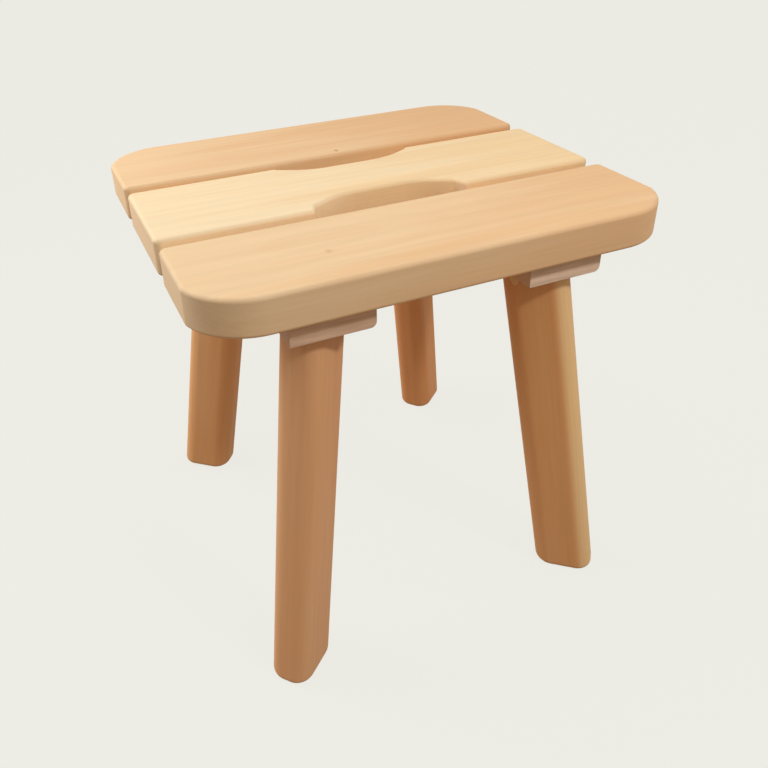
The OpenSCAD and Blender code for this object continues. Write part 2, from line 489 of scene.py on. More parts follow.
    def shade(self, sheet: Sheet, colour: Value | Sequence[float], change: Value) -> Value:
        """Make a colour lighter or darker by a share of itself."""
        factor = sheet.node("ShaderNodeCombineXYZ", None, {axis: change + 1.0 for axis in range(3)})
        return sheet.mix(1.0, colour, factor, "MULTIPLY")

    def end_grain(self, sheet: Sheet, grain: Grain) -> Value:
        """Find where a surface cuts the fibres.

        Args:
            sheet: The node sheet.
            grain: How the wood lies.

        Returns:
            1 where the fibres are cut square, and 0 along them.
        """
        fibre = tuple(grain.turn.to_3x3() @ Vector((1.0, 0.0, 0.0)))
        inputs = {0: sheet.coordinate("Normal"), 1: fibre}
        facing = sheet.node("ShaderNodeVectorMath", {"operation": "DOT_PRODUCT"}, inputs, "Value")
        slanting, square = 0.3, 0.95
        return (facing * facing).ramp(slanting, square)

    def end_colour(self, sheet: Sheet, rings: Value, shifted: Value) -> Value:
        """Colour the cut ends, with their rings and open pores.

        Args:
            sheet: The node sheet.
            rings: The late wood, from 0 to 1.
            shifted: The point, moved for this piece's own noise.

        Returns:
            The colour.
        """
        pores = sheet.noise(shifted, PORES) * self.pore_depth
        clouds = sheet.noise(shifted, CLOUDS) * self.cloud_depth
        layers = sheet.noise(shifted, LAYERS) * self.end_streaks
        change = pores + clouds + layers - rings * self.end_ring_depth
        return self.shade(sheet, self.end.linear(), change)

    def knot_mark(self, sheet: Sheet, place: Value, shifted: Value, knot: Knot) -> Value:
        """Draw a pin knot.

        Args:
            sheet: The node sheet.
            place: The point in the piece's own axes.
            shifted: The same point, moved for this piece's own noise.
            knot: The knot.

        Returns:
            Its mark, 1 at its heart and fading outwards.
        """
        offset = sheet.vector("SUBTRACT", place, (knot.along, knot.across, 0.0))
        shape = sheet.vector("MULTIPLY", offset, (1.0 / knot.size, knot.squeeze / knot.size, 0.0))
        reach = sheet.length(shape) + sheet.noise(shifted, KNOT_RIM) * knot.ragged
        return 1.0 - reach.ramp(knot.heart, knot.rim)


@dataclass(frozen=True)
class SteelFinish:
    """Turned stainless steel, as on a wood screw."""

    slot: str = "screw_steel"
    bright: Tone = Tone(222, 222, 224)
    dull: Tone = Tone(178, 178, 182)
    marks: Pattern = Pattern((2500.0, 2500.0, 600.0), 3.0, 0.6)
    clouds: Pattern = Pattern((260.0, 260.0, 260.0))
    mark_depth: float = 0.5
    worn_range: tuple[float, float] = (-0.25, 0.3)
    roughness: float = 0.34
    roughness_change: float = 0.2
    relief: float = 0.02 * MM
    relief_strength: float = 0.5

    def make(self, name: str) -> bpy.types.Material:
        """Build the material.

        Args:
            name: The piece's name.

        Returns:
            The material.
        """
        material = bpy.data.materials.new("steel_" + name)
        sheet = Sheet(material)
        shader = sheet.tree.nodes["Principled BSDF"]
        place = sheet.coordinate("Object")
        marks = sheet.noise(place, self.marks)
        clouds = sheet.noise(place, self.clouds)
        worn = (clouds + marks * self.mark_depth).ramp(*self.worn_range)
        colour = sheet.mix(worn, self.dull.linear(), self.bright.linear())
        sheet.feed(shader.inputs["Base Color"], colour)
        sheet.feed(shader.inputs["Roughness"], marks * self.roughness_change + self.roughness)
        bump = {"Height": marks, "Distance": self.relief, "Strength": self.relief_strength}
        sheet.feed(shader.inputs["Normal"], sheet.node("ShaderNodeBump", None, bump))
        shader.inputs["Metallic"].default_value = 1.0
        return material


class Bench:
    """The workbench, where one piece at a time is cut, rounded and drilled."""

    sharp_angle = math.radians(32)
    flat_angle = math.radians(0.5)
    rim_change = 0.5
    cutter_sides = 48

    def clear(self) -> None:
        """Put down whatever is held, so that a step acts on one piece alone."""
        if bpy.context.object and bpy.context.object.mode != "OBJECT":
            bpy.ops.object.mode_set(mode="OBJECT")
        bpy.ops.object.select_all(action="DESELECT")

    def hold(self, piece: bpy.types.Object) -> None:
        """Take up one piece.

        Args:
            piece: The piece.
        """
        self.clear()
        piece.select_set(True)
        bpy.context.view_layer.objects.active = piece

    def block(self, name: str, low: Vector, high: Vector) -> bpy.types.Object:
        """Start a piece as a squared block.

        Args:
            name: The piece's name.
            low: Its lowest corner.
            high: Its highest corner.

        Returns:
            The block.
        """
        self.clear()
        bpy.ops.mesh.primitive_cube_add(size=1.0, location=(low + high) / 2, scale=high - low)
        piece = bpy.context.object
        piece.name = name
        piece.data.name = name
        self.settle(piece)
        return piece

    def settle(self, piece: bpy.types.Object) -> None:
        """Move a piece's place, turn and scale into its mesh."""
        self.hold(piece)
        bpy.ops.object.transform_apply(location=True, rotation=True, scale=True)

    def pick(self, piece: bpy.types.Object, part: Part,
             test: Callable[..., bool] | None = None) -> None:
        """Open a piece for editing with some or all of it selected.

        Args:
            piece: The piece.
            part: Whether edges or faces are selected.
            test: Whether one of them is selected, where not all are.
        """
        self.hold(piece)
        bpy.ops.object.mode_set(mode="EDIT")
        bpy.ops.mesh.select_mode(type=part.value)
        bpy.ops.mesh.select_all(action="DESELECT")
        net = bmesh.from_edit_mesh(piece.data)
        for item in net.edges if part is Part.EDGE else net.faces:
            if test is None or test(item):
                item.select_set(True)
        bmesh.update_edit_mesh(piece.data)

    def round_edges(self, piece: bpy.types.Object, test: Callable[..., bool], radius: float,
                    steps: int) -> None:
        """Round some of a piece's edges.

        Args:
            piece: The piece.
            test: Whether an edge is rounded.
            radius: How far back from the edge the rounding starts.
            steps: How many flats make up the rounding.
        """
        self.pick(piece, Part.EDGE, test)
        bpy.ops.mesh.bevel(offset=radius, offset_type="OFFSET", segments=steps, profile=0.5,
                           affect="EDGES", clamp_overlap=False, loop_slide=False)
        bpy.ops.object.mode_set(mode="OBJECT")

    def saw(self, piece: bpy.types.Object, at: Vector, facing: Vector, part_off: bool) -> None:
        """Cut through a piece.

        Args:
            piece: The piece.
            at: A point on the cut.
            facing: The direction square to the cut.
            part_off: Whether what lies on the facing side comes off, and the cut is closed.
        """
        self.pick(piece, Part.FACE)
        bpy.ops.mesh.bisect(plane_co=at, plane_no=facing, use_fill=part_off,
                            clear_outer=part_off, clear_inner=False)
        bpy.ops.object.mode_set(mode="OBJECT")

    def join_flats(self, piece: bpy.types.Object) -> None:
        """Take out the lines that saw cuts leave across flat faces.

        Args:
            piece: The piece.
        """
        self.pick(piece, Part.FACE)
        bpy.ops.mesh.dissolve_limited(angle_limit=self.flat_angle)
        bpy.ops.object.mode_set(mode="OBJECT")

    def modify(self, piece: bpy.types.Object, kind: str, **settings: object) -> None:
        """Add a modifier, and apply it.

        Args:
            piece: The piece.
            kind: The modifier's type.
            settings: Its options.
        """
        self.hold(piece)
        bpy.ops.object.modifier_add(type=kind)
        modifier = piece.modifiers[-1]
        for key, value in settings.items():
            setattr(modifier, key, value)
        bpy.ops.object.modifier_apply(modifier=modifier.name)

    def ease(self, piece: bpy.types.Object, radius: float, steps: int) -> None:
        """Round the rims of a board's two wide faces.

        Args:
            piece: The board, lying flat.
            radius: The radius of the rounding.
            steps: How many flats make up the rounding.
        """
        def is_rim(edge: bmesh.types.BMEdge) -> bool:
            """Return whether a wide face meets the board's side here."""
            one, two = (abs(face.normal.z) for face in edge.link_faces)
            return abs(one - two) > self.rim_change

        self.round_edges(piece, is_rim, radius, steps)

    def cutter(self, profile: Sequence[tuple[float, float]], place: Matrix) -> bpy.types.Object:
        """Make a round cutter from its profile.

        Args:
            profile: Pairs of depth and radius, from its outer end inwards.
            place: Where it stands, with Z into the wood.

        Returns:
            The cutter.
        """
        self.clear()
        start, radius = profile[0]
        bpy.ops.mesh.primitive_circle_add(vertices=self.cutter_sides, radius=radius,
                                          fill_type="NGON", location=(0.0, 0.0, start))
        tool = bpy.context.object
        self.settle(tool)
        self.pick(tool, Part.FACE)
        for depth, wide in profile[1:]:
            bpy.ops.mesh.extrude_region_move(
                TRANSFORM_OT_translate={"value": (0.0, 0.0, depth - start)})
            grow = wide / radius
            bpy.ops.transform.resize(value=(grow, grow, 1.0), center_override=(0.0, 0.0, depth))
            start, radius = depth, wide
        bpy.ops.mesh.select_all(action="SELECT")
        bpy.ops.mesh.normals_make_consistent(inside=False)
        bpy.ops.object.mode_set(mode="OBJECT")
        tool.matrix_world = place
        return tool

    def drill(self, piece: bpy.types.Object, tools: list[bpy.types.Object]) -> None:
        """Cut holes in a piece with round cutters, and put the cutters away.

        Args:
            piece: The piece.
            tools: The cutters, each in its place.
        """
        self.hold(tools[0])
        for tool in tools:
            tool.select_set(True)
        bpy.ops.object.join()
        joined = bpy.context.object
        self.modify(piece, "BOOLEAN", operation="DIFFERENCE", solver="EXACT", object=joined)
        bpy.data.objects.remove(joined)

    def copy(self, piece: bpy.types.Object, name: str, place: Matrix) -> bpy.types.Object:
        """Copy a piece, with a mesh of its own, into its place.

        Args:
            piece: The piece, at the origin.
            name: The copy's name.
            place: Where the copy goes.

        Returns:
            The copy, with its place in its mesh.
        """
        self.hold(piece)
        bpy.ops.object.duplicate()
        made = bpy.context.object
        made.name = name
        made.data.name = name
        made.matrix_world = place
        self.settle(made)
        self.finish(made)
        return made

    def finish(self, piece: bpy.types.Object) -> None:
        """Shade a piece smoothly over its roundings and flat over its flats.

        Args:
            piece: The piece.
        """
        self.hold(piece)
        bpy.ops.object.shade_smooth_by_angle(angle=self.sharp_angle)
        self.modify(piece, "WEIGHTED_NORMAL", keep_sharp=True, weight=100)
        self.clear()


def stands_at(edge: bmesh.types.BMEdge, x: float, y: float) -> bool:
    """Return whether an edge stands upright at a given depth, at either end of the seat.

    Args:
        edge: The edge.
        x: How far from the seat's middle it must be, along the slats.
        y: Its depth.

    Returns:
        Whether it stands there.
    """
    one, two = (vert.co for vert in edge.verts)
    upright = (one.xy - two.xy).length < NEAR
    return upright and abs(abs(one.x) - x) < NEAR and abs(one.y - y) < NEAR


def centre_of(node: str) -> Vector:
    """Return the middle of a construction node's box."""
    low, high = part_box(node)
    return (low + high) / 2


def hand_in(piece: bpy.types.Object, material: bpy.types.Material, node: str) -> None:
    """Give a piece its material and let it stand for its construction node.

    Args:
        piece: The finished piece.
        material: Its material.
        node: The construction node.
    """
    piece.data.materials.clear()
    piece.data.materials.append(material)
    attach(piece, BODY)
    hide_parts(node)
    log.info("%s: %d faces, stands for %s", piece.name, len(piece.data.polygons), node)


@dataclass(frozen=True)
class SeatScrews:
    """The countersunk screws that come up through the battens into the slats."""

    shank: float = 5.2 * MM
    head: float = 10.2 * MM
    head_height: float = 3.0 * MM
    sink: float = 0.5 * MM
    length: float = 46.5 * MM
    beside_leg: float = 32.0 * MM
    middle_step: tuple[float, float] = (26.0 * MM, 56.0 * MM)
    cutter_lead: float = 2.0 * MM

    def places(self, row: Row, side: Side, leg: "LegSizes") -> list[Vector]:
        """Find the screws of one slat on one batten.

        Args:
            row: The slat.
            side: The batten.
            leg: The sizes of the legs, which the outer screws keep clear of.

        Returns:
            Their places on the batten's underside.
        """
        x = side.value * leg.batten_x()
        if row is Row.MIDDLE:
            dx, dy = self.middle_step
            return [Vector((x + s * dx / 2, s * dy / 2, leg.top())) for s in (-1, 1)]
        over = side.value * self.beside_leg * math.sin(leg.turn)
        back = row.value * self.beside_leg * math.cos(leg.turn)
        y = row.value * leg.centre_y()
        return [Vector((x + s * over, y - s * back, leg.top())) for s in (-1, 1)]

    def cutters(self, bench: Bench, places: list[Vector]) -> list[bpy.types.Object]:
        """Make a countersinking cutter for each of some screws.

        Args:
            bench: The workbench.
            places: The screws' places on the batten's underside.

        Returns:
            The cutters.
        """
        profile = (
            (-self.cutter_lead, self.head / 2), (self.sink, self.head / 2),
            (self.sink + self.head_height, self.shank / 2), (self.length, self.shank / 2),
        )
        return [bench.cutter(profile, Matrix.Translation(at)) for at in places]


@dataclass(frozen=True)
class LegSizes:
    """The sizes of a leg and of what fastens it.

    The plug's mouth is how far its hole stands off all round it at the leg's side,
    and its slack how far inside. The gap is how far the plug ends short of its seat.
    """

    width: float = 55.0 * MM
    thickness: float = 39.0 * MM
    edge_radius: float = 15.8 * MM
    turn: float = math.radians(40.0)
    lean: float = math.radians(10.2)
    setback: float = 41.5 * MM
    foot_radius: float = 7.0 * MM
    dowel: float = 10.2 * MM
    dowel_length: float = 33.0 * MM
    dowel_rise: float = 14.5 * MM
    dowel_x: tuple[float, float] = (15.0 * MM, -1.0 * MM)
    screw: float = 4.2 * MM
    screw_head: float = 7.2 * MM
    screw_head_height: float = 2.4 * MM
    screw_length: float = 39.0 * MM
    screw_rise: float = math.radians(30.0)
    screw_drop: float = 12.5 * MM
    screw_x: float = -14.0 * MM
    plug: float = 8.0 * MM
    plug_length: float = 5.1 * MM
    plug_mouth: float = 0.35 * MM
    plug_slack: float = 0.0875 * MM
    plug_arris: float = 0.3 * MM
    plug_gap: float = 0.1 * MM

    def batten_x(self) -> float:
        """Return how far the battens' middles are from the stool's middle."""
        return centre_of("batten_right").x

    def top(self) -> float:
        """Return the height of the battens' underside, where the legs end."""
        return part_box("batten_right")[0].z

    def centre_y(self) -> float:
        """Return how far the legs' tops are from the stool's middle."""
        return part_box("batten_right")[1].y - self.setback

    def place(self, side: Side, end: End) -> Matrix:
        """Find a leg's own axes.

        Args:
            side: Which batten the leg stands under.
            end: Whether it is a front or a rear leg.

        Returns:
            The axes, with X outwards along its board and Z up from its top.
        """
        at = Vector((side.value * self.batten_x(), end.value * self.centre_y(), self.top()))
        angle = math.atan2(end.value * math.sin(self.turn), side.value * math.cos(self.turn))
        return Matrix.Translation(at) @ Matrix.Rotation(angle, 4, "Z")

    def screw_place(self) -> Matrix:
        """Find a leg screw's axes within its leg's.

        Returns:
            The axes, with Z into the wood from the leg's side.
        """
        at = Vector((self.screw_x, -self.thickness / 2, -self.screw_drop))
        tilt = Matrix.Rotation(self.screw_rise - math.pi / 2, 4, "X")
        return Matrix.Translation(at) @ tilt

    def cutters(self, bench: Bench, place: Matrix) -> list[bpy.types.Object]:
        """Make the cutters for a leg's two dowels, and the stepped one for its screw and plug.

        Args:
            bench: The workbench.
            place: The leg's own axes.

        Returns:
            The cutters.
        """
        foot = self.dowel_rise - self.dowel_length
        round_hole = ((foot, self.dowel / 2), (self.dowel_rise, self.dowel / 2))
        tools = [bench.cutter(round_hole, place @ Matrix.Translation((x, 0.0, 0.0)))
                 for x in self.dowel_x]
        seat = self.plug_length
        step = 0.01 * MM
        stepped = (
            (-self.plug, self.plug / 2 + self.plug_mouth),
            (self.plug / 2, self.plug / 2 + self.plug_slack),
            (seat, self.plug / 2 + self.plug_slack), (seat + step, self.screw_head / 2),
            (seat + self.screw_head_height, self.screw / 2),
            (seat + self.screw_length, self.screw / 2),
        )
        tools.append(bench.cutter(stepped, place @ self.screw_place()))
        return tools


@dataclass(kw_only=True)
class Slat:
    """A slat of the seat, with its fibres along X."""

    row: Row
    finish: WoodFinish
    grain_seed: float
    pith: tuple[float, float]
    knots: tuple[Knot, ...] = ()
    # Painted shade along the slat: darker and more orange towards its right end, for the light from
    # the left falling off
    painted_light_falloff: float = 1.1
    corner_radius: float = 6.0 * MM
    edge_radius: float = 3.5 * MM

    def name(self) -> str:
        """Return the construction node's name."""
        return "slat_" + self.row.name.lower()

    def shape(self, bench: Bench) -> bpy.types.Object:
        """Cut the board to its outline, which each kind of slat does in its own way."""
        raise NotImplementedError

    def build(self, bench: Bench, screws: SeatScrews, leg: LegSizes) -> bpy.types.Object:
        """Model the slat.

        Args:
            bench: The workbench.
            screws: The screws that come into it from below.
            leg: The sizes that place the screws.

        Returns:
            The slat.
        """
        piece = self.shape(bench)
        bench.ease(piece, self.edge_radius, RIM_STEPS)
        spots = [at for side in Side for at in screws.places(self.row, side, leg)]
        bench.drill(piece, screws.cutters(bench, spots))
        bench.finish(piece)
        return piece

    def dress(self, piece: bpy.types.Object) -> None:
        """Finish the slat.

        Args:
            piece: The slat.
        """
        grain = Grain(centre_of(self.name()), Matrix.Identity(4), self.grain_seed, self.pith,
                      self.knots, self.painted_light_falloff)
        hand_in(piece, self.finish.make(self.name(), grain), self.name())


@dataclass(kw_only=True)
class OuterSlat(Slat):
    """The front or the rear slat, with two large round corners on its outer edge.

    The ends are sawn back a little from the full round of the large corners, so
    that each corner meets its end at a slight angle.
    """

    outer_radius: float = 52.0 * MM
    trim: float = 2.0 * MM

    def shape(self, bench: Bench) -> bpy.types.Object:
        """Cut the board to its outline.

        Args:
            bench: The workbench.

        Returns:
            The board, with sharp rims and no holes.
        """
        low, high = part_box(self.name())
        outer_y, inner_y = (high.y, low.y) if self.row is Row.REAR else (low.y, high.y)
        spare = Vector((self.trim, 0.0, 0.0))
        piece = bench.block(self.name() + "_board", low - spare, high + spare)
        bench.round_edges(piece, lambda edge: stands_at(edge, high.x + self.trim, outer_y),
                          self.outer_radius, LARGE_STEPS)
        for sign in (-1, 1):
            bench.saw(piece, Vector((sign * high.x, 0.0, 0.0)), Vector((sign, 0.0, 0.0)), True)
        bench.round_edges(piece, lambda edge: stands_at(edge, high.x, inner_y),
                          self.corner_radius, CORNER_STEPS)
        return piece


@dataclass(frozen=True)
class Grip:
    """A hand grip, cut along a template into a long edge of the middle slat."""

    end: End
    depth: float
    flat: float = 46.0 * MM
    bend_radius: float = 60.0 * MM
    slope: float = math.radians(27.0)
    rise: float = 14.0 * MM
    end_slope: float = math.radians(65.0)
    shoulder_radius: float = 4.0 * MM

    def bend_x(self) -> float:
        """Return where the grip's bottom would meet its slopes, were it not rounded there."""
        return self.flat / 2 + self.bend_radius * math.tan(self.slope / 2)

    def shoulder_x(self) -> float:
        """Return where the slopes end at the shoulders."""
        return self.bend_x() + self.rise / math.tan(self.slope)

    def mouth_x(self) -> float:
        """Return where the grip opens into the slat's edge."""
        return self.shoulder_x() + (self.depth - self.rise) / math.tan(self.end_slope)

    def corners(self) -> tuple[tuple[float, float, float], ...]:
        """List the grip's inner corners.

        Returns:
            Each one's place along the slat, its depth and the reach of its rounding.
        """
        bend = self.bend_radius * math.tan(self.slope / 2)
        shoulder = self.shoulder_radius * math.tan((self.end_slope - self.slope) / 2)
        return (
            (self.bend_x(), self.depth, bend),
            (self.shoulder_x(), self.depth - self.rise, shoulder),
        )

    def cut(self, bench: Bench, piece: bpy.types.Object, edge_y: float) -> None:
        """Cut the grip into the slat.

        Args:
            bench: The workbench.
            piece: The slat, still a squared block there.
            edge_y: How far the slat's long edges are from its middle.
        """
        for x in (self.bend_x(), self.shoulder_x(), self.mouth_x()):
            for sign in (-1, 1):
                bench.saw(piece, Vector((sign * x, 0.0, 0.0)), Vector((1.0, 0.0, 0.0)), False)
        for x, depth, _ in self.corners():
            bench.pick(piece, Part.EDGE, lambda edge: stands_at(edge, x, self.end.value * edge_y))
            bpy.ops.transform.translate(value=(0.0, -self.end.value * depth, 0.0))
            bpy.ops.object.mode_set(mode="OBJECT")

    def soften(self, bench: Bench, piece: bpy.types.Object, edge_y: float) -> None:
        """Round the grip's inner corners, as seen from above.

        Args:
            bench: The workbench.
            piece: The slat.
            edge_y: How far the slat's long edges are from its middle.
        """
        for x, depth, reach in self.corners():
            y = self.end.value * (edge_y - depth)
            bench.round_edges(piece, lambda edge: stands_at(edge, x, y), reach, LONG_STEPS)


@dataclass(kw_only=True)
class MiddleSlat(Slat):
    """The middle slat, with a hand grip cut into each of its long edges."""

    grips: tuple[Grip, ...] = (Grip(End.FRONT, 26.0 * MM), Grip(End.REAR, 16.5 * MM))

    def shape(self, bench: Bench) -> bpy.types.Object:
        """Cut the board to its outline.

        Args:
            bench: The workbench.

        Returns:
            The board, with sharp rims and no holes.
        """
        low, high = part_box(self.name())
        piece = bench.block(self.name() + "_board", low, high)
        for grip in self.grips:
            grip.cut(bench, piece, high.y)
        for grip in self.grips:
            grip.soften(bench, piece, high.y)
        bench.join_flats(piece)
        for y in (low.y, high.y):
            bench.round_edges(piece, lambda edge: stands_at(edge, high.x, y),
                              self.corner_radius, CORNER_STEPS)
        return piece


@dataclass
class Batten:
    """A batten that the slats are screwed to, and that two legs stand under."""

    side: Side
    finish: WoodFinish
    grain_seed: float
    pith: tuple[float, float] = (20.0 * MM, -320.0 * MM)
    edge_radius: float = 5.0 * MM
    arris: float = 0.6 * MM

    def name(self) -> str:
        """Return the construction node's name."""
        return "batten_" + self.side.name.lower()

    def build(self, bench: Bench, screws: SeatScrews, leg: LegSizes) -> bpy.types.Object:
        """Model the batten.

        Args:
            bench: The workbench.
            screws: The screws that pass through it.
            leg: The sizes of what fastens its two legs.

        Returns:
            The batten.
        """
        low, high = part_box(self.name())
        sharp_radians = 1.0

        def is_eased(edge: bmesh.types.BMEdge) -> bool:
            """Return whether an edge is the lower right one, which is rounded well over."""
            return all(abs(v.co.x - high.x) < NEAR and abs(v.co.z - low.z) < NEAR for v in edge.verts)

        piece = bench.block(self.name() + "_bar", low, high)
        bench.round_edges(piece, is_eased, self.edge_radius, RIM_STEPS)
        bench.round_edges(piece, lambda edge: edge.calc_face_angle() > sharp_radians, self.arris,
                          ARRIS_STEPS)
        tools = [cut for row in Row
                 for cut in screws.cutters(bench, screws.places(row, self.side, leg))]
        for end in End:
            tools += leg.cutters(bench, leg.place(self.side, end))
        bench.drill(piece, tools)
        bench.finish(piece)
        return piece

    def dress(self, piece: bpy.types.Object) -> None:
        """Finish the batten, with its fibres along Y.

        Args:
            piece: The batten.
        """
        turn = Matrix.Rotation(math.pi / 2, 4, "Z")
        grain = Grain(centre_of(self.name()), turn, self.grain_seed, self.pith)
        hand_in(piece, self.finish.make(self.name(), grain), self.name())


@dataclass
class LegPattern:
    """The one leg that all four are copied from, in its own axes, with its plug."""

    sizes: LegSizes

    def build(self, bench: Bench) -> tuple[bpy.types.Object, bpy.types.Object]:
        """Model the leg and its plug.

        Args:
            bench: The workbench.

        Returns:
            The drilled leg and the plug.
        """
        board, stock = self.shape(bench, "leg_pattern"), self.shape(bench, "plug_stock")
        bench.drill(board, self.sizes.cutters(bench, Matrix.Identity(4)))
        return board, self.turn_plug(bench, stock)

    def shape(self, bench: Bench, name: str) -> bpy.types.Object:
        """Round a board upright, lean it, cut it level and round its foot.

        Args:
            bench: The workbench.
            name: The board's name.

        Returns:
            The leg without its holes.
        """
        sizes = self.sizes
        floor = -sizes.top()
        spare = sizes.width
        low = Vector((-sizes.width / 2, -sizes.thickness / 2, floor - spare))
        piece = bench.block(name, low, Vector((-low.x, -low.y, spare)))
        bench.round_edges(piece, self.runs_along, sizes.edge_radius, LONG_STEPS)
        piece.rotation_euler.y = -sizes.lean
        bench.settle(piece)
        bench.saw(piece, Vector((0.0, 0.0, 0.0)), Vector((0.0, 0.0, 1.0)), True)
        bench.saw(piece, Vector((0.0, 0.0, floor)), Vector((0.0, 0.0, -1.0)), True)
        bench.round_edges(piece, lambda edge: self.lies_at(edge, floor), sizes.foot_radius, FOOT_STEPS)
        return piece

    def runs_along(self, edge: bmesh.types.BMEdge) -> bool:
        """Return whether an edge runs along the upright board."""
        one, two = (vert.co for vert in edge.verts)
        return abs(one.z - two.z) > self.sizes.width

    def lies_at(self, edge: bmesh.types.BMEdge, height: float) -> bool:
        """Return whether an edge lies level at a height."""
        return all(abs(vert.co.z - height) < NEAR for vert in edge.verts)

    def turn_plug(self, bench: Bench, stock: bpy.types.Object) -> bpy.types.Object:
        """Turn the plug over the leg's screw, and cut it off level with the leg's side.

        Args:
            bench: The workbench.
            stock: The leg without its holes, which gives the plug's outer face.

        Returns:
            The plug.
        """
        sizes = self.sizes
        radius = sizes.plug / 2
        profile = ((-sizes.plug, radius), (sizes.plug_length - sizes.plug_arris, radius),
                   (sizes.plug_length - sizes.plug_gap, radius - sizes.plug_arris))
        plug = bench.cutter(profile, sizes.screw_place())
        bench.settle(plug)
        bench.modify(plug, "BOOLEAN", operation="INTERSECT", solver="EXACT", object=stock)
        bpy.data.objects.remove(stock)
        return plug


@dataclass(kw_only=True)
class Leg:
    """One splayed leg, a thick board with well rounded edges, and its plug."""

    side: Side
    end: End
    sizes: LegSizes
    finish: WoodFinish
    plug_finish: WoodFinish
    grain_seed: float
    pith: tuple[float, float]
    # Where the board turns pale towards its outer edge: partly pale outer wood, partly painted
    # highlight
    sapwood_and_highlight: float | None = None
    plug_pith: tuple[float, float] = (2.0 * MM, 6.0 * MM)

    def place_name(self) -> str:
        """Return the words that say which leg this is."""
        return f"{self.end.name.lower()}_{self.side.name.lower()}"

    def build(self, bench: Bench, patterns: Sequence[bpy.types.Object]) -> list[bpy.types.Object]:
        """Copy the leg and its plug to their place.

        Args:
            bench: The workbench.
            patterns: The leg and the plug that are copied.

        Returns:
            The two copies.
        """
        place = self.sizes.place(self.side, self.end)
        names = (f"leg_{self.place_name()}_board", f"plug_{self.place_name()}_wood")
        return [bench.copy(pattern, name, place) for pattern, name in zip(patterns, names)]

    def dress(self, board: bpy.types.Object, plug: bpy.types.Object) -> None:
        """Finish the leg and its plug, with the leg's fibres along its leaning board.

        Args:
            board: The leg.
            plug: Its plug.
        """
        place = self.sizes.place(self.side, self.end)
        lean = Matrix.Rotation(-self.sizes.lean, 4, "Y")
        turn = place.to_3x3().to_4x4() @ lean @ UPRIGHT
        grain = Grain(place.translation, turn, self.grain_seed, self.pith, sapwood_and_highlight=self.sapwood_and_highlight)
        name = "leg_" + self.place_name()
        hand_in(board, self.finish.make(name, grain), name)
        name = "plug_" + self.place_name()
        axis = (place @ self.sizes.screw_place()).to_3x3().to_4x4()
        grain = Grain(centre_of(name), axis @ UPRIGHT, self.grain_seed, self.plug_pith)
        hand_in(plug, self.plug_finish.make(name, grain), name)


@dataclass
class Fastenings:
    """The dowels and screws, which keep their construction shapes."""

    dowel_finish: WoodFinish
    steel: SteelFinish = SteelFinish()
    seed_step: float = 0.37
    pith: tuple[float, float] = (3.0 * MM, 20.0 * MM)

    def dress(self) -> None:
        """Finish every dowel and screw."""
        for name, node in sorted(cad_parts.items()):
            if name.startswith("dowels_"):
                grain = Grain(centre_of(name), UPRIGHT, len(name) * self.seed_step, self.pith)
                material = self.dowel_finish.make(name, grain)
            elif "screw" in name:
                material = self.steel.make(name)
            else:
                continue
            node.data.materials.clear()
            node.data.materials.append(material)
            log.info("%s: finished as %s", name, material.name)


def direction(azimuth: float, elevation: float) -> Vector:
    """Find a direction, as seen from the stool.

    Args:
        azimuth: How far it is to the right of the front, in degrees.
        elevation: How far it is above the floor, in degrees.

    Returns:
        The direction, one long.
    """
    turn, height = math.radians(azimuth), math.radians(elevation)
    level = math.cos(height)
    return Vector((math.sin(turn) * level, -math.cos(turn) * level, math.sin(height)))


@dataclass(frozen=True)
class Lamp:
    """A distant lamp: its strength, its direction and how wide it looks, in degrees.

    The aim is the height that it is turned to.
    """

    name: str
    power: float
    azimuth: float
    elevation: float
    spread: float
    tone: Tone = Tone(255, 255, 255)
    distance: float = 1.0
    aim: float = 0.3

    def make(self) -> bpy.types.Light:
        """Make the light itself.

        Returns:
            The light, still white.
        """
        light = bpy.data.lights.new(self.name, "SUN")
        light.energy = self.power
        light.angle = math.radians(self.spread)
        return light

    def hang(self) -> None:
        """Hang the lamp, turned to the stool and out of the camera's sight."""
        light = self.make()
        light.color = self.tone.linear()[:3]
        holder = bpy.data.objects.new(self.name, light)
        bpy.context.scene.collection.objects.link(holder)
        back = direction(self.azimuth, self.elevation)
        holder.location = Vector((0.0, 0.0, self.aim)) + back * self.distance
        holder.rotation_euler = back.to_track_quat("Z", "Y").to_euler()
        holder.visible_camera = False


@dataclass(frozen=True)
class NearLamp(Lamp):
    """A disc of light that stands near the stool, with its strength as felt there."""

    def make(self) -> bpy.types.Light:
        """Make the light itself.

        Returns:
            The light, still white.
        """
        light = bpy.data.lights.new(self.name, "AREA")
        light.shape = "DISK"
        light.size = 2 * self.distance * math.tan(math.radians(self.spread) / 2)
        light.energy = math.pi * self.distance ** 2 * self.power
        return light


